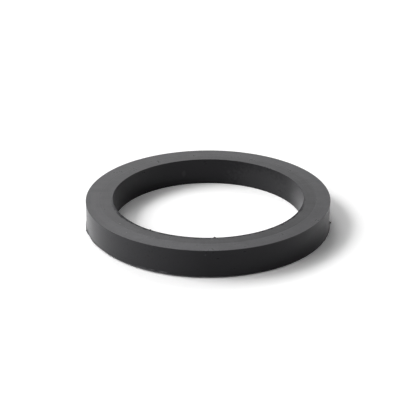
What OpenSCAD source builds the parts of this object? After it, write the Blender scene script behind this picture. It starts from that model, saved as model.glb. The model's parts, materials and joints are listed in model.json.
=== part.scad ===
// Flat rubber sealing ring of rectangular section, lying on its lower face.
// The origin is at the centre of the lower face and +Z runs along the ring's axis.

/* [Ring] */
// Diameter of the bore
bore_d = 57; // [30:0.5:120]
// Radial width of the section, from the bore to the outer wall
section_w = 8; // [4:0.1:15]
// Height of the section, from the lower to the upper face
section_h = 8.5; // [4:0.1:15]

/* [Edges] */
// Rounding of the outer edge of the upper face
top_outer_r = 0.2; // [0.1:0.05:0.8]
// Rounding of the inner edge of the upper face
top_inner_r = 0.25; // [0.1:0.05:0.8]
// Rounding of the inner edge of the lower face
bottom_inner_r = 0.25; // [0.1:0.05:0.8]

/* [Cut line on the faces] */
// Distance of the line from the bore wall
line_inset = 3.7; // [1.5:0.1:6]
// Width of the line
line_w = 0.3; // [0.1:0.05:1]
// Depth of the line
line_depth = 0.05; // [0.02:0.01:0.3]

/* [Trimmed flash] */
// Thickness of the flash left round the lower outer edge
flash_t = 0.5; // [0.2:0.05:1]
// Reach of the flash beyond the outer wall, on average round the ring
flash_reach = 0.2; // [0.1:0.05:0.5]
// Lean of the trimming cutter away from the ring's axis, in degrees
trim_lean = 45; // [30:1:60]
// Distance that the cutter sat off the ring's centre
trim_offset = 0.3; // [0:0.05:0.5]
// Direction in which the cutter left the most flash
trim_dir = 50; // [0:1:360]

/* [Torn nibs] */
// Directions of the nibs left on the flash
nib_dirs = [-1, 182, 192]; // [-180:1:360]
// Furthest reach of a nib beyond the outer wall
nib_reach = 0.75; // [0.5:0.05:1.5]
// Width of a nib
nib_w = 1.4; // [0.4:0.1:3]

/* [Hidden] */
$fn = 180;
bore_r = bore_d / 2;
outer_r = bore_r + section_w;
line_r = bore_r + line_inset;
trim_r = outer_r + flash_reach;
trim_h = flash_t + trim_offset / tan(trim_lean);
skirt_r = trim_r + 2 * trim_offset;
clear = 1;

// The cross-section with three of its edges chamfered from tangent point to tangent point
module chamfered_section() {
  polygon([
    [bore_r + bottom_inner_r, 0],
    [outer_r, 0],
    [outer_r, section_h - top_outer_r],
    [outer_r - top_outer_r, section_h],
    [bore_r + top_inner_r, section_h],
    [bore_r, section_h - top_inner_r],
    [bore_r, bottom_inner_r]
  ]);
}

// A round that fills one chamfer out to a true arc
module edge_round(x, z, r) {
  translate([x, z])
    circle(r = r);
}

module rounded_section() {
  chamfered_section();
  edge_round(outer_r - top_outer_r, section_h - top_outer_r, top_outer_r);
  edge_round(bore_r + top_inner_r, section_h - top_inner_r, top_inner_r);
  edge_round(bore_r + bottom_inner_r, bottom_inner_r, bottom_inner_r);
}

// The shallow vee that the knife leaves in a face, as cut from below a face at z = 0
module line_vee() {
  polygon([
    [line_r - line_w, line_depth],
    [line_r, -line_depth],
    [line_r + line_w, line_depth]
  ]);
}

module ring_section() {
  difference() {
    rounded_section();
    translate([0, section_h])
      line_vee();
    mirror([0, 1])
      line_vee();
  }
}

// Flash as the mould leaves it, before trimming
module untrimmed_flash() {
  difference() {
    cylinder(r = skirt_r, h = flash_t);
    translate([0, 0, -clear])
      cylinder(r = (outer_r + bore_r) / 2, h = flash_t + 2 * clear);
  }
}

// The cone that the leaning cutter leaves standing, with its radius trim_r at the top of the flash
module kept_cone() {
  rotate([0, 0, trim_dir])
    translate([trim_offset, 0, -2 * clear])
      cylinder(
        r1 = trim_r - (flash_t + 2 * clear) * tan(trim_lean),
        r2 = trim_r + (trim_h + clear - flash_t) * tan(trim_lean),
        h = trim_h + 3 * clear
      );
}

module trimmings() {
  difference() {
    translate([0, 0, -clear])
      cylinder(r = skirt_r + clear, h = trim_h + clear);
    kept_cone();
  }
}

// A torn point of flash with a rounded end
module flash_nib(dir) {
  rotate([0, 0, dir])
    linear_extrude(height = flash_t) {
      translate([outer_r + nib_reach - nib_w / 2, 0])
        circle(d = nib_w);
      translate([outer_r - nib_w, -nib_w / 2])
        square([nib_reach + nib_w / 2, nib_w]);
    }
}

module seal_ring() {
  color("dimgray") {
    difference() {
      union() {
        rotate_extrude()
          ring_section();
        untrimmed_flash();
      }
      trimmings();
    }
    for (dir = nib_dirs)
      flash_nib(dir);
  }
}

seal_ring();
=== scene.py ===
import bpy
import json
import math
import numpy as np
from mathutils import Matrix, Vector


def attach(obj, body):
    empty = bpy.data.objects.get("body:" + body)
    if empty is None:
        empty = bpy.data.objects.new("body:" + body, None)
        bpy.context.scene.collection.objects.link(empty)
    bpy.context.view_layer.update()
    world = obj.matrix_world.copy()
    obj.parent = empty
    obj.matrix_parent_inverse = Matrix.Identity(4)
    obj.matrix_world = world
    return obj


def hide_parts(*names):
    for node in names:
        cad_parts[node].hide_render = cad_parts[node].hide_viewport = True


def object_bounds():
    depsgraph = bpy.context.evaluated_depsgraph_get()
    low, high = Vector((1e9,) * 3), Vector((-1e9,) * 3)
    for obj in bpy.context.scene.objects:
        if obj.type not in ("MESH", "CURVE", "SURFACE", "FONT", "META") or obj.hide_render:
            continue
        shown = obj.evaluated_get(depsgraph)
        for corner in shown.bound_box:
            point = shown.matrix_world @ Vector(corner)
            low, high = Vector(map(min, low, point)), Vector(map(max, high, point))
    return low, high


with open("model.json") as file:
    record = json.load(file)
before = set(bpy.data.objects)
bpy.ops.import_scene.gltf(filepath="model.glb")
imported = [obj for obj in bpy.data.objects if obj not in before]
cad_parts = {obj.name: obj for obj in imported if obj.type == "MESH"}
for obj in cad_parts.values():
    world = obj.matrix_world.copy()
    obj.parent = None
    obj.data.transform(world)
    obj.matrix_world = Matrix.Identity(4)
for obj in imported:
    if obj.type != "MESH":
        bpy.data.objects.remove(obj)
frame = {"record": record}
cadLow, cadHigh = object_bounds()
scene = bpy.context.scene
mm = 0.001
print("frame loaded")

# The walls' radii and the height come from the frame. Angles are in degrees round the ring's
# axis: 0 is to the right, 90 is the far side, 180 is to the left and 270 is the near side.
mounts = {m["name"]: m for m in frame["record"]["mounts"]}
boreRadius = mounts["bore"]["dims"]["r_mm"] * mm
outerRadius = mounts["outer_wall"]["dims"]["r_mm"] * mm
ringHeight = cadHigh[2]

ring = {
    "angleSteps": 960,
    "topOuterRound": 0.08 * mm,     # the knife left this edge almost sharp
    "topInnerRound": 0.08 * mm,
    "bottomInnerRound": 0.2 * mm,
    "outerHollow": 0.11 * mm,       # the outer wall is drawn in at mid height, most at front and back
    "leastHollow": 0.25,            # share of it that is left at both ends
    "hollowUneven": 0.25,           # share by which it comes and goes round the ring
    "boreHollow": 0.05 * mm,
    "faceWave": 0.012 * mm,         # slow rise and fall of the upper face round the ring
    "waveSunk": 2,                  # the middle of the wave lies this many wave heights down
    "lineInset": 3.7 * mm,          # from the bore to the line that the knife left on both faces
    "lineDepth": 0.02 * mm,
    "lineHalfWidth": 0.25 * mm,
    "flashThickness": 0.5 * mm,
    "flashReach": 0.12 * mm,        # on average round the ring, where the leaning cutter ran
    "cutterOffset": 0.27 * mm,
    "cutterDirection": 68,          # the cutter sat off centre towards here and left most flash
    "flashRagged": 0.02 * mm,
    "lipHeight": 0.05 * mm,         # the blunt end of the flash, above its bevel
    "lipLean": 0.01 * mm,           # and how far it leans in
    "lipRise": 0.02 * mm,           # the flash rises by this from its end to the wall
    "flashThinning": 0.6,           # share by which the flash thins towards the right front
    "thinDirection": -25,
    "thinSpan": 1.1,                # in radians to either side
    "wallFlare": 0.28 * mm,         # the foot of the wall spreads towards the left end
    "flareDirection": 182,
    "flareSpan": 0.32,
    "flareHeight": 6.5 * mm,
    "burr": 0.06 * mm,              # stands at the corner where the cutter bit into it
    "burrDirection": 247,
    "burrHalfWidth": 9.0 * mm,
    "edgeNibDepth": 0.5 * mm,       # how far down the bore the nibs of the inner edge reach
    "boreSwell": 0.2 * mm,          # the bore bulges inwards a little on one side
    "boreSwellDirection": 212,
    "boreSwellSpan": 0.45,          # in radians to either side
    "seed": 11,
}
rowsOf = {  # rows of points in each stretch of the section
    "line": 5,
    "lowerFace": 5,
    "bevel": 10,
    "lipEnd": 2,
    "lipTop": 5,
    "outerWall": 18,
    "upperFace": 10,
    "boreWall": 15,
    "round": 6,
}
nibs = [  # torn and thick flash: direction, reach beyond the wall, half width along the wall
    (-3.2, 0.72 * mm, 0.8 * mm),
    (184.0, 0.14 * mm, 8.0 * mm),
    (193.0, 0.3 * mm, 4.4 * mm),
    (191.8, 0.46 * mm, 0.5 * mm),
    (204.0, 0.14 * mm, 6.5 * mm),
]
edgeNibs = [  # on the inner edge of the upper face: direction, reach into the bore, half width
    (273.6, 0.7 * mm, 0.4 * mm),
    (235.5, 0.4 * mm, 0.4 * mm),
]


# A sum of cosines with whole numbers of waves round the ring. Their sizes fall with the number
# of waves and their phases are drawn from the seed. The result varies by about one.
def roundNoise(angle, rng, lowest, highest, falloff):
    waves = np.arange(lowest, highest + 1)
    size = rng.normal(size=waves.size) / (waves / lowest) ** falloff
    phase = rng.uniform(0, 2 * np.pi, waves.size)
    total = (size[:, None] * np.cos(waves[:, None] * angle + phase[:, None])).sum(0)
    return total / np.sqrt((size ** 2).sum() / 2)


# The angle from a direction, brought between minus and plus half a turn
def angleFrom(angle, degrees):
    return (angle - math.radians(degrees) + np.pi) % (2 * np.pi) - np.pi


# One at 0 and nothing beyond plus or minus 1, with a round top: (1 - t^2)^2
def hump(t):
    return (1 - np.clip(t, -1, 1) ** 2) ** 2


# Rows of points down a straight line in the section, from one end to the other without the ends.
# Either end may differ from direction to direction. Points crowd to both ends by a cosine.
def straightRows(angle, start, end, steps):
    t = (0.5 - 0.5 * np.cos(np.pi * np.arange(1, steps + 1) / (steps + 1)))[:, None]
    r = start[0] + (end[0] - start[0]) * t + 0 * angle
    z = start[1] + (end[1] - start[1]) * t + 0 * angle
    return r, z


# Rows of points along a quarter circle in the section, anticlockwise from the start angle
def roundedRows(angle, centreR, centreZ, radius, start, steps):
    turn = np.radians(start + np.linspace(0, 90, steps))[:, None]
    return centreR + radius * np.cos(turn) + 0 * angle, centreZ + radius * np.sin(turn) + 0 * angle


# How far the trimmed flash reaches beyond the wall in each direction, as a cutter leaves it that
# ran a little off centre. It is less than nothing where the cutter bit into the corner. Torn
# nibs stand out further.
def flashReach(angle, rng, v):
    reach = v["flashReach"] + v["cutterOffset"] * np.cos(angleFrom(angle, v["cutterDirection"]))
    reach = reach + v["flashRagged"] * roundNoise(angle, rng, lowest=12, highest=90, falloff=0.5)
    for direction, far, halfWidth in nibs:
        rise = hump(angleFrom(angle, direction) * outerRadius / halfWidth)
        reach = np.maximum(reach, reach + (far - reach) * rise)
    return reach


# The closed section in each direction, anticlockwise from the line on the lower face: out along
# that face, up the bevel of the cut to the lip of flash, up the outer wall, in over the upper
# face and down the bore.
def ringRows(angle, reach, v):
    rb, ro, h = boreRadius, outerRadius, ringHeight
    to, ti, bi = v["topOuterRound"], v["topInnerRound"], v["bottomInnerRound"]
    line, half = rb + v["lineInset"], v["lineHalfWidth"]
    across = (line + half * np.linspace(-1, 1, rowsOf["line"]))[:, None] + 0 * angle
    thinned = v["flashThinning"] * hump(angleFrom(angle, v["thinDirection"]) / v["thinSpan"])
    foot = ro + reach - v["flashThickness"] * (1 - thinned)
    burr = v["burr"] * hump(angleFrom(angle, v["burrDirection"]) * outerRadius / v["burrHalfWidth"])
    tip = ro + np.maximum(reach, burr)
    tipHeight = tip - foot
    lean = v["lipLean"]
    lipTop = tipHeight + v["lipHeight"]
    lipRoot = lipTop + v["lipRise"]
    rows = [
        (across, 0 * across),
        straightRows(angle, (line + half, 0), (foot, 0), rowsOf["lowerFace"]),
        straightRows(angle, (foot, 0), (tip, tipHeight), rowsOf["bevel"]),
        straightRows(angle, (tip, tipHeight), (tip - lean, lipTop), rowsOf["lipEnd"]),
        straightRows(angle, (tip - lean, lipTop), (ro - lean, lipRoot), rowsOf["lipTop"]),
        straightRows(angle, (ro, lipRoot), (ro, h - to), rowsOf["outerWall"]),
        roundedRows(angle, ro - to, h - to, to, 0, rowsOf["round"]),
        straightRows(angle, (ro - to, h), (line + half, h), rowsOf["upperFace"]),
        (across[::-1], 0 * across + h),
        straightRows(angle, (line - half, h), (rb + ti, h), rowsOf["upperFace"]),
        roundedRows(angle, rb + ti, h - ti, ti, 90, rowsOf["round"]),
        straightRows(angle, (rb, h - ti), (rb, bi), rowsOf["boreWall"]),
        roundedRows(angle, rb + bi, bi, bi, 180, rowsOf["round"]),
    ]
    return np.concatenate([r for r, z in rows]), np.concatenate([z for r, z in rows])


# Each point of the rows then moves. The walls are drawn in by a parabola of their height, the foot
# of the outer wall flares, and the bore bulges on one side. Both faces are scored along the line,
# the upper face waves and its inner edge gets its nibs. The moves of a wall reach a millimetre into
# the section and fade to nothing there.
def ringSurface(v):
    rng = np.random.default_rng(v["seed"])
    angle = np.linspace(0, 2 * np.pi, v["angleSteps"], endpoint=False)
    uneven = roundNoise(angle, rng, lowest=2, highest=9, falloff=0.8)
    wave = v["faceWave"] * (roundNoise(angle, rng, lowest=2, highest=7, falloff=1.0) - v["waveSunk"])
    r, z = ringRows(angle, flashReach(angle, rng, v), v)
    level = np.clip(z / ringHeight, 0, 1)
    parabola = 1 - (2 * level - 1) ** 2
    drawnIn = v["outerHollow"] * (v["leastHollow"] + (1 - v["leastHollow"]) * np.sin(angle) ** 2)
    onOuter = np.clip((r - outerRadius) / mm + 1, 0, 1)
    onBore = np.clip((boreRadius - r) / mm + 1, 0, 1)
    score = v["lineDepth"] * np.clip(1 - np.abs(r - boreRadius - v["lineInset"]) / v["lineHalfWidth"], 0, 1)
    r = r - onOuter * parabola * drawnIn * (1 + v["hollowUneven"] * uneven)
    spread = v["wallFlare"] * hump(angleFrom(angle, v["flareDirection"]) / v["flareSpan"])
    r = r + onOuter * spread * np.clip(1 - z / v["flareHeight"], 0, 1)
    r = r + onBore * parabola * v["boreHollow"]
    r = r - onBore * v["boreSwell"] * hump(angleFrom(angle, v["boreSwellDirection"]) / v["boreSwellSpan"])
    z = z + np.where(level > 0.5, np.minimum(wave, 0) * level - score, score)
    for direction, reach, halfWidth in edgeNibs:
        along = hump(angleFrom(angle, direction) * boreRadius / halfWidth)
        r = r - onBore * hump((ringHeight - z) / v["edgeNibDepth"]) * along * reach
    return angle, r, z


# A closed grid: each column of points is one angle, joined to the next column and round the section
def ringMesh(name, v):
    angle, r, z = ringSurface(v)
    rows, columns = r.shape
    verts = np.stack([r * np.cos(angle), r * np.sin(angle), z], -1).reshape(-1, 3)
    row, column = np.meshgrid(np.arange(rows), np.arange(columns), indexing="ij")
    nextRow, nextColumn = (row + 1) % rows, (column + 1) % columns
    faces = np.stack([
        row * columns + column,
        row * columns + nextColumn,
        nextRow * columns + nextColumn,
        nextRow * columns + column,
    ], -1).reshape(-1, 4)
    mesh = bpy.data.meshes.new(name)
    mesh.vertices.add(len(verts))
    mesh.vertices.foreach_set("co", verts.astype(np.float32).ravel())
    mesh.loops.add(faces.size)
    mesh.loops.foreach_set("vertex_index", faces.astype(np.int32).ravel())
    mesh.polygons.add(len(faces))
    mesh.polygons.foreach_set("loop_start", np.arange(0, faces.size, 4, dtype=np.int32))
    mesh.polygons.foreach_set("use_smooth", np.ones(len(faces), bool))
    mesh.update(calc_edges=True)
    mesh.validate()
    piece = bpy.data.objects.new(name, mesh)
    scene.collection.objects.link(piece)
    return piece


rubber = {
    "dark": (0.0044, 0.0044, 0.0047, 1),
    # the grey of wear, also used for the painted light on the outer wall
    "worn": (0.1, 0.1, 0.106, 1),
    "dustAndPaintedLight": (0.17, 0.17, 0.175, 1),
    "tint": (0.945, 0.935, 1.0, 1),  # of the gloss and the bloom, faintly blue
    "roughness": 0.3,
    "roughSpread": 0.06,
    "ior": 1.28,
    "sheen": 0.15,           # the grey bloom that shows at a low angle
    "sheenRoughness": 0.4,
    "lineScale": 2600,       # fine knife lines, in pattern units per metre across the section
    "broadLineScale": 700,
    "lineDrift": 2.3,        # how soon a line fades along its run
    "broadLineDrift": 1.38,
    "fineShare": 0.6,
    "broadShare": 0.4,
    "fibreScale": 130,       # streaks that run across the section
    "fibreDrift": 42,
    "blotchScale": 260,
    "grainScale": 5200,
    "pitScale": 2100,
    "pitSpan": (0.58, 0.68),  # levels of the noise where a pit begins and where it is full
    "pitDulled": 0.35,
    "topFrom": 0.2 * mm,     # the upper face fades in between these depths under it
    "topFull": 0.06 * mm,
    "wearMix": {"lines": 0.35, "blotches": 0.4, "fibres": 0.25},
    "wearSpan": (0.38, 0.62),  # levels of the mix that leave the finish fresh and wear it fully
    "reliefMix": {"lines": 0.6, "grain": 0.3, "fibres": 0.2, "pits": -0.3},
    "bumpDepth": 0.014 * mm,
    "sectorSoft": 0.4 * mm,  # softness of the edges of the sectors
    "markScale": 1100,       # unevenness of the outlines of the marks
    "markUneven": 0.8,
    "markCore": 0.3,         # share of a mark's width that has its full strength
    "dulled": 0.9,           # roughness of the darker marks
    "palerRoughness": 0.8,           # and of the paler ones
    "greyed": 0.14,          # wear of the upper face
    "paled": 0.14,           # the outer part of the upper face is paler, most on the right
    "paleDirection": 330,
    "paleSpan": (-0.8, -0.2),  # values of addTowards where it begins and where it is full
    "paleLeast": 0.25,       # share of the paleness before it begins
    "outerFrom": 3.5 * mm,   # from the bore to where the outer part begins, and where it is full
    "outerFull": 4.1 * mm,
    "rubbed": 0.08,          # and rubbed grey towards the front left
    "rubbedDirection": 232,
    "rubbedSpan": (0.0, 0.9),
    "rimWidth": 1.7 * mm,    # along the outer edge the rubbing falls to a share of itself
    "rimShare": 0.3,
    "sidePaintedLight": 0.22,       # painted light: the outer wall is greyer towards the left front
    "sideDirection": 217,
    "sideSpan": (0.6, 1.0),
    "wallFrom": 1.5 * mm,    # the painted light fades in between these depths under the outer wall
    "wallFull": 0.5 * mm,
    "edgeWidth": 0.75 * mm,  # dull band along the inner edge of the upper face
    "edgeFade": (1.5, 2.2),  # in widths from the bore, with the one that the noise adds
    "edgeScale": 1000,
    "edgeDirection": 273,    # the middle of its run
    "edgeSpan": (-0.25, 0.5),
}
marks = [  # direction, radius, height, half width, half height, paler (+) or darker (-)
    (218.0, 31.7 * mm, 8.5 * mm, 0.26 * mm, 0.26 * mm, 0.9),
    (228.0, 33.9 * mm, 8.5 * mm, 0.2 * mm, 0.2 * mm, 0.6),
    (268.8, 36.5 * mm, 7.2 * mm, 0.34 * mm, 0.34 * mm, 0.11),
    (106.0, 28.5 * mm, 3.9 * mm, 1.0 * mm, 1.6 * mm, 0.05),
    # painted light: the next four lighten the bore low down on the right and the outer wall at both ends
    (53.0, 28.5 * mm, 3.0 * mm, 15.0 * mm, 7.0 * mm, 0.085),
    (346.0, 36.5 * mm, 4.6 * mm, 6.0 * mm, 5.0 * mm, 0.08),
    (17.0, 28.5 * mm, 2.6 * mm, 6.0 * mm, 4.0 * mm, 0.09),
    (192.0, 36.5 * mm, 3.2 * mm, 9.0 * mm, 6.0 * mm, 0.1),
    # painted highlight: the next three make a light streak along the edge of the foot at the front left
    (240.0, 36.5 * mm, 1.0 * mm, 2.6 * mm, 0.17 * mm, 0.25),
    (244.8, 36.5 * mm, 1.0 * mm, 1.6 * mm, 0.17 * mm, 0.4),
    (250.0, 36.5 * mm, 1.0 * mm, 1.9 * mm, 0.17 * mm, 0.5),
    (343.5, 36.5 * mm, 7.0 * mm, 0.4 * mm, 1.9 * mm, -0.6),
    (339.5, 36.5 * mm, 6.4 * mm, 0.4 * mm, 1.6 * mm, -0.45),
    (195.4, 36.5 * mm, 6.1 * mm, 0.35 * mm, 0.6 * mm, -0.7),
    (200.0, 36.5 * mm, 3.6 * mm, 0.3 * mm, 0.4 * mm, -0.5),
]
sectors = [  # on the upper face: direction, half width in degrees, radii, paler (+) or darker (-)
    (173.5, 3.5, 29.0 * mm, 36.2 * mm, -0.55),
    (195.0, 24.0, 32.2 * mm, 33.6 * mm, -0.3),
    (65.0, 5.0, 29.2 * mm, 36.0 * mm, 0.4),
    (292.0, 34.0, 30.9 * mm, 32.1 * mm, -0.3),
    (228.0, 22.0, 28.9 * mm, 30.4 * mm, -0.4),
    (332.0, 24.0, 32.4 * mm, 34.6 * mm, -0.3),
    (205.0, 36.0, 34.9 * mm, 36.8 * mm, -0.35),
    (272.0, 24.0, 28.9 * mm, 30.6 * mm, -0.3),
]


# Adds a node, sets its properties, and fills its sockets with values or with other nodes' outputs
def addNode(tree, kind, sockets=None, **properties):
    node = tree.nodes.new(kind)
    for key, value in properties.items():
        setattr(node, key, value)
    for key, value in (sockets or {}).items():
        if isinstance(value, bpy.types.NodeSocket):
            tree.links.new(value, node.inputs[key])
        else:
            node.inputs[key].default_value = value
    return node


def addMath(tree, operation, first, second):
    return addNode(tree, "ShaderNodeMath", {0: first, 1: second}, operation=operation).outputs["Value"]


# A value carried from one span to another and held at both ends
def addRange(tree, value, fromLow, fromHigh, toLow, toHigh):
    sockets = {"Value": value, "From Min": fromLow, "From Max": fromHigh, "To Min": toLow, "To Max": toHigh}
    return addNode(tree, "ShaderNodeMapRange", sockets).outputs["Result"]


# The same with a smooth step between both ends
def addSmooth(tree, value, fromLow, fromHigh, toLow, toHigh):
    sockets = {"Value": value, "From Min": fromLow, "From Max": fromHigh, "To Min": toLow, "To Max": toHigh}
    return addNode(tree, "ShaderNodeMapRange", sockets, interpolation_type="SMOOTHSTEP").outputs["Result"]


def addProduct(tree, first, *others):
    total = first
    for value in others:
        total = addMath(tree, "MULTIPLY", total, value)
    return total


# The sum of values, each with its weight
def addWeighted(tree, *pairs):
    total = 0.0
    for value, weight in pairs:
        total = addMath(tree, "ADD", addMath(tree, "MULTIPLY", value, weight), total)
    return total


def addVector(tree, operation, sockets, output="Vector"):
    return addNode(tree, "ShaderNodeVectorMath", sockets, operation=operation).outputs[output]


def addNoise(tree, vector, scale, detail):
    sockets = {"Vector": vector, "Scale": scale, "Detail": detail}
    return addNode(tree, "ShaderNodeTexNoise", sockets).outputs["Fac"]


# The mix node takes its two colours at sockets 6 and 7 and gives the mixed one at socket 2
def addColourMix(tree, factor, first, second):
    sockets = {0: factor, 6: first, 7: second}
    return addNode(tree, "ShaderNodeMix", sockets, data_type="RGBA").outputs[2]


# Where a point of the ring lies: its place, its direction from the axis, its radius, its run, which
# is radius plus height and grows steadily across the section on faces and walls alike, and how far
# the point belongs to the upper face.
def ringSpot(tree, v):
    place = addNode(tree, "ShaderNodeTexCoord").outputs["Object"]
    split = addNode(tree, "ShaderNodeSeparateXYZ", {"Vector": place}).outputs
    flat = addNode(tree, "ShaderNodeCombineXYZ", {"X": split["X"], "Y": split["Y"]}).outputs["Vector"]
    radius = addVector(tree, "LENGTH", {0: flat}, "Value")
    return {
        "place": place,
        "direction": addVector(tree, "NORMALIZE", {0: flat}),
        "radius": radius,
        "run": addMath(tree, "ADD", radius, split["Z"]),
        "onTop": addRange(tree, split["Z"], ringHeight - v["topFrom"], ringHeight - v["topFull"], 0.0, 1.0),
    }


# How nearly a point lies in the given direction: one along it, less than nothing away from it
def addTowards(tree, spot, degrees):
    a = math.radians(degrees)
    sockets = {0: spot["direction"], 1: (math.cos(a), math.sin(a), 0)}
    return addVector(tree, "DOT_PRODUCT", sockets, "Value")


# Lines that run round the ring: noise read at the direction and the run
def turnedLines(tree, spot, drift, scale):
    slow = addVector(tree, "SCALE", {0: spot["direction"], "Scale": drift})
    split = addNode(tree, "ShaderNodeSeparateXYZ", {"Vector": slow}).outputs
    sockets = {"X": split["X"], "Y": split["Y"], "Z": addProduct(tree, spot["run"], scale)}
    joined = addNode(tree, "ShaderNodeCombineXYZ", sockets).outputs["Vector"]
    return addNoise(tree, joined, scale=1.0, detail=2.5)


# The patterns that the wear and the relief are mixed from. The fibres are on the upper face only and
# are level, at one half, everywhere else.
def finishPatterns(tree, spot, v):
    fineLines = turnedLines(tree, spot, v["lineDrift"], v["lineScale"])
    broadLines = turnedLines(tree, spot, v["broadLineDrift"], v["broadLineScale"])
    fibres = addMath(tree, "SUBTRACT", turnedLines(tree, spot, v["fibreDrift"], v["fibreScale"]), 0.5)
    pits = addNoise(tree, spot["place"], v["pitScale"], detail=2.0)
    return {
        "lines": addWeighted(tree, (fineLines, v["fineShare"]), (broadLines, v["broadShare"])),
        "fibres": addMath(tree, "ADD", addProduct(tree, fibres, spot["onTop"]), 0.5),
        "blotches": addNoise(tree, spot["place"], v["blotchScale"], detail=3.0),
        "grain": addNoise(tree, spot["place"], v["grainScale"], detail=2.0),
        "pits": addSmooth(tree, pits, *v["pitSpan"], 0.0, 1.0),
    }


def mixedPatterns(tree, patterns, shares):
    return addWeighted(tree, *((patterns[name], share) for name, share in shares.items()))


# Two soft masks of the marks, one of the paler and one of the darker. The paler ones are dust
# specks, and painted light and a painted highlight on the walls. Noise makes their outlines uneven.
def markMasks(tree, spot, v):
    uneven = addNoise(tree, spot["place"], v["markScale"], detail=3.0)
    uneven = addRange(tree, uneven, 0.0, 1.0, -v["markUneven"] / 2, v["markUneven"] / 2)
    paler, darker = 0.0, 0.0
    for direction, far, high, halfWidth, halfHeight, change in marks:
        a = math.radians(direction)
        middle = (far * math.cos(a), far * math.sin(a), high)
        gap = addVector(tree, "SUBTRACT", {0: spot["place"], 1: middle})
        gap = addVector(tree, "DIVIDE", {0: gap, 1: (halfWidth, halfWidth, halfHeight)})
        gap = addMath(tree, "ADD", addVector(tree, "LENGTH", {0: gap}, "Value"), uneven)
        mask = addSmooth(tree, gap, v["markCore"], 1.0, abs(change), 0.0)
        if change > 0:
            paler = addMath(tree, "MAXIMUM", mask, paler)
        else:
            darker = addMath(tree, "MAXIMUM", mask, darker)
    return paler, darker


# The sum of soft-edged sectors of the upper face
def sectorSum(tree, spot, v):
    total = 0.0
    soft = v["sectorSoft"]
    for degrees, halfWidth, fromRadius, toRadius, change in sectors:
        angle = addMath(tree, "ARCCOSINE", addTowards(tree, spot, degrees), 0.0)
        mask = addSmooth(tree, angle, 0.0, math.radians(halfWidth), change, 0.0)
        begun = addSmooth(tree, spot["radius"], fromRadius - soft, fromRadius + soft, 0.0, 1.0)
        unended = addSmooth(tree, spot["radius"], toRadius - soft, toRadius + soft, 1.0, 0.0)
        total = addMath(tree, "ADD", addProduct(tree, mask, begun, unended), total)
    return total


# How pale the outer part of the upper face is
def paleZone(tree, spot, v):
    outerFrom, outerFull = boreRadius + v["outerFrom"], boreRadius + v["outerFull"]
    outer = addRange(tree, spot["radius"], outerFrom, outerFull, 0.0, 1.0)
    wallward = addRange(tree, spot["radius"], outerRadius - v["rimWidth"], outerRadius, 1.0, v["rimShare"])
    pale = addTowards(tree, spot, v["paleDirection"])
    pale = addRange(tree, pale, *v["paleSpan"], v["paleLeast"], 1.0)
    rubbed = addTowards(tree, spot, v["rubbedDirection"])
    rubbed = addProduct(tree, addRange(tree, rubbed, *v["rubbedSpan"], 0.0, 1.0), wallward)
    paleness = addWeighted(tree, (pale, v["paled"]), (rubbed, v["rubbed"]))
    return addProduct(tree, paleness, outer, spot["onTop"])


# How much light is painted on the outer wall towards the left front, as a greyer colour
def paintedSideLight(tree, spot, v):
    side = addTowards(tree, spot, v["sideDirection"])
    side = addRange(tree, side, *v["sideSpan"], 0.0, v["sidePaintedLight"])
    wallFrom, wallFull = outerRadius - v["wallFrom"], outerRadius - v["wallFull"]
    onWall = addRange(tree, spot["radius"], wallFrom, wallFull, 0.0, 1.0)
    onWall = addMath(tree, "SUBTRACT", onWall, spot["onTop"])
    return addProduct(tree, side, addMath(tree, "MAXIMUM", onWall, 0.0))


# The dull band along the inner edge of the upper face. The noise that makes it ragged is about one
# half, so twice the noise adds about one width.
def dullBand(tree, spot, v):
    width = v["edgeWidth"]
    noise = addNoise(tree, spot["place"], v["edgeScale"], detail=2.0)
    ragged = addWeighted(tree, (spot["radius"], 1.0), (noise, 2 * width))
    fadeFrom, fadeTo = (boreRadius + widths * width for widths in v["edgeFade"])
    band = addRange(tree, ragged, fadeFrom, fadeTo, 1.0, 0.0)
    along = addRange(tree, addTowards(tree, spot, v["edgeDirection"]), *v["edgeSpan"], 0.0, 1.0)
    return addProduct(tree, band, spot["onTop"], along)


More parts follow.
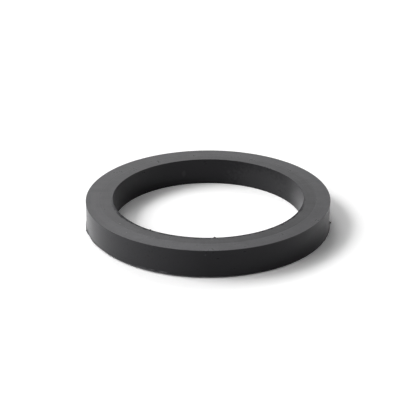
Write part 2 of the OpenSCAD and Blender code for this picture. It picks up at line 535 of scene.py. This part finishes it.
def blackRubber(v):
    material = bpy.data.materials.new("blackRubber")
    material.use_nodes = True
    tree = material.node_tree
    spot = ringSpot(tree, v)
    patterns = finishPatterns(tree, spot, v)
    wear = addRange(tree, mixedPatterns(tree, patterns, v["wearMix"]), *v["wearSpan"], 0.0, 1.0)
    wear = addMath(tree, "ADD", wear, sectorSum(tree, spot, v))
    paler, darker = markMasks(tree, spot, v)
    dull = addMath(tree, "MAXIMUM", darker, dullBand(tree, spot, v))
    dull = addMath(tree, "MAXIMUM", dull, addProduct(tree, patterns["pits"], v["pitDulled"]))
    worn = addProduct(tree, wear, spot["onTop"], v["greyed"])
    # the grey holds the pale zone, the wear of the upper face and the painted light on the outer wall
    grey = addWeighted(tree, (paleZone(tree, spot, v), 1.0), (worn, 1.0), (paintedSideLight(tree, spot, v), 1.0))
    grey = addProduct(tree, grey, addRange(tree, dull, 0.0, 1.0, 1.0, 0.0))
    colour = addColourMix(tree, grey, v["dark"], v["worn"])
    # the paler marks: dust specks, painted light on the bore and outer wall, and a painted highlight at the
    # foot
    colour = addColourMix(tree, paler, colour, v["dustAndPaintedLight"])
    halfSpread = v["roughSpread"] / 2
    rough = addRange(tree, wear, 0.0, 1.0, v["roughness"] + halfSpread, v["roughness"] - halfSpread)
    rough = addMath(tree, "MAXIMUM", rough, addProduct(tree, paler, v["palerRoughness"]))
    rough = addMath(tree, "MAXIMUM", rough, addProduct(tree, dull, v["dulled"]))
    relief = mixedPatterns(tree, patterns, v["reliefMix"])
    bump = addNode(tree, "ShaderNodeBump", {"Height": relief, "Distance": v["bumpDepth"], "Strength": 1.0})
    shader = tree.nodes["Principled BSDF"].inputs
    tree.links.new(colour, shader["Base Color"])
    tree.links.new(rough, shader["Roughness"])
    tree.links.new(bump.outputs["Normal"], shader["Normal"])
    shader["Specular Tint"].default_value = v["tint"]
    shader["Sheen Weight"].default_value = v["sheen"]
    shader["Sheen Tint"].default_value = v["tint"]
    shader["Sheen Roughness"].default_value = v["sheenRoughness"]
    shader["IOR"].default_value = v["ior"]
    return material


sealRing = ringMesh("sealRing", ring)
sealRing.data.materials.append(blackRubber(rubber))
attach(sealRing, "root")
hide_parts("seal_ring")
print("ring made:", len(sealRing.data.polygons), "faces")

studio = {
    "floorSize": 6.0,
    "floorColour": (0.8, 0.8, 0.8),
    "floorGain": 1.4,        # brings the lit floor up to white where it is seen or mirrored
    "lightColour": (1.0, 1.0, 1.0),
}
lamps = {  # direction and height above the horizon in degrees, width in degrees, strength
    "keyLight": (181, 49, 14, 0.52),
    "softKey": (165, 42, 25, 1.11),
    "farLight": (102, 42, 28, 0.63),
    "farHigh": (120, 60, 40, 0.5),
    "farLeft": (150, 25, 50, 0.22),
    "leftFill": (205, 38, 30, 0.63),
    "leftLow": (180, 18, 50, 0.22),
    "leftBroad": (190, 25, 60, 0.31),
    "frontLeft": (215, 22, 60, 0.31),
    "frontLeftHigh": (240, 35, 50, 0.22),
    "frontHigh": (270, 60, 30, 0.21),
    "frontRight": (300, 30, 50, 0.11),
    "farRight": (60, 25, 40, 0.06),
    "overhead": (0, 88, 90, 0.12),
}


# One for rays from the camera and for rays that a gloss or a glass sends on
def seenDirectly(tree):
    path = addNode(tree, "ShaderNodeLightPath").outputs
    mirrored = addMath(tree, "MAXIMUM", path["Is Glossy Ray"], path["Is Transmission Ray"])
    return addMath(tree, "MAXIMUM", path["Is Camera Ray"], mirrored)


# A pale matt sheet. Where it is seen or mirrored it is lifted to white, and it keeps the shadow.
def paleFloor(v):
    half = v["floorSize"] / 2
    corners = [(-half, -half, 0), (half, -half, 0), (half, half, 0), (-half, half, 0)]
    mesh = bpy.data.meshes.new("floor")
    mesh.from_pydata(corners, [], [(0, 1, 2, 3)])
    floor = bpy.data.objects.new("floor", mesh)
    scene.collection.objects.link(floor)
    material = bpy.data.materials.new("floorPaper")
    material.use_nodes = True
    tree = material.node_tree
    tree.nodes.clear()
    seen = seenDirectly(tree)
    lifted = tuple(c * v["floorGain"] for c in v["floorColour"])
    plainSheet = addNode(tree, "ShaderNodeBsdfDiffuse", {"Color": (*v["floorColour"], 1)}).outputs["BSDF"]
    whiteSheet = addNode(tree, "ShaderNodeBsdfDiffuse", {"Color": (*lifted, 1)}).outputs["BSDF"]
    mix = addNode(tree, "ShaderNodeMixShader", {0: seen, 1: plainSheet, 2: whiteSheet}).outputs["Shader"]
    addNode(tree, "ShaderNodeOutputMaterial", {"Surface": mix})
    mesh.materials.append(material)


# The world is white where it is seen or mirrored and gives no other light
def whiteWorld(v):
    world = bpy.data.worlds.new("studio")
    scene.world = world
    world.use_nodes = True
    tree = world.node_tree
    tree.nodes.clear()
    sockets = {"Color": (*v["lightColour"], 1), "Strength": seenDirectly(tree)}
    light = addNode(tree, "ShaderNodeBackground", sockets)
    addNode(tree, "ShaderNodeOutputWorld", {"Surface": light.outputs["Background"]})


# A broad lamp so far off that it lights the whole floor evenly
def broadLamp(name, azimuth, elevation, width, strength):
    data = bpy.data.lights.new(name, "SUN")
    data.angle = math.radians(width)
    data.energy = strength
    data.color = studio["lightColour"]
    lamp = bpy.data.objects.new(name, data)
    scene.collection.objects.link(lamp)
    a, e = math.radians(azimuth), math.radians(elevation)
    away = Vector((math.cos(a) * math.cos(e), math.sin(a) * math.cos(e), math.sin(e)))
    lamp.location = away
    lamp.rotation_euler = away.to_track_quat("Z", "Y").to_euler()


paleFloor(studio)
whiteWorld(studio)
for lampName, settings in lamps.items():
    broadLamp(lampName, *settings)
print("studio lit")

view = {  # the camera stands in front of the ring and looks down at it
    "back": 279.9 * mm,      # distance in front of the ring's axis
    "up": 133.7 * mm,
    "pitch": 24.933,         # degrees below the horizon
    "yaw": 0.115,            # degrees to the right
    "roll": -0.103,
    "lens": 87.65,
    "sensor": 36.0,
    "nearest": 10 * mm,      # what the camera shows lies between these distances
    "furthest": 20000 * mm,
}


def photoCamera(v):
    data = bpy.data.cameras.new("camera")
    data.sensor_width = v["sensor"]
    data.lens = v["lens"]
    data.clip_start = v["nearest"]
    data.clip_end = v["furthest"]
    camera = bpy.data.objects.new("camera", data)
    scene.collection.objects.link(camera)
    p, y, r = (math.radians(v[k]) for k in ("pitch", "yaw", "roll"))
    ahead = Vector((math.sin(y) * math.cos(p), math.cos(y) * math.cos(p), -math.sin(p)))
    level = Vector((math.cos(y), -math.sin(y), 0))
    upward = level.cross(ahead)
    across = level * math.cos(r) + upward * math.sin(r)
    upright = upward * math.cos(r) - level * math.sin(r)
    turn = Matrix((across, upright, -ahead)).transposed()
    camera.matrix_world = Matrix.Translation((0, -v["back"], v["up"])) @ turn.to_4x4()
    scene.camera = camera


photoCamera(view)
scene.view_settings.view_transform = "Standard"
print("camera set")
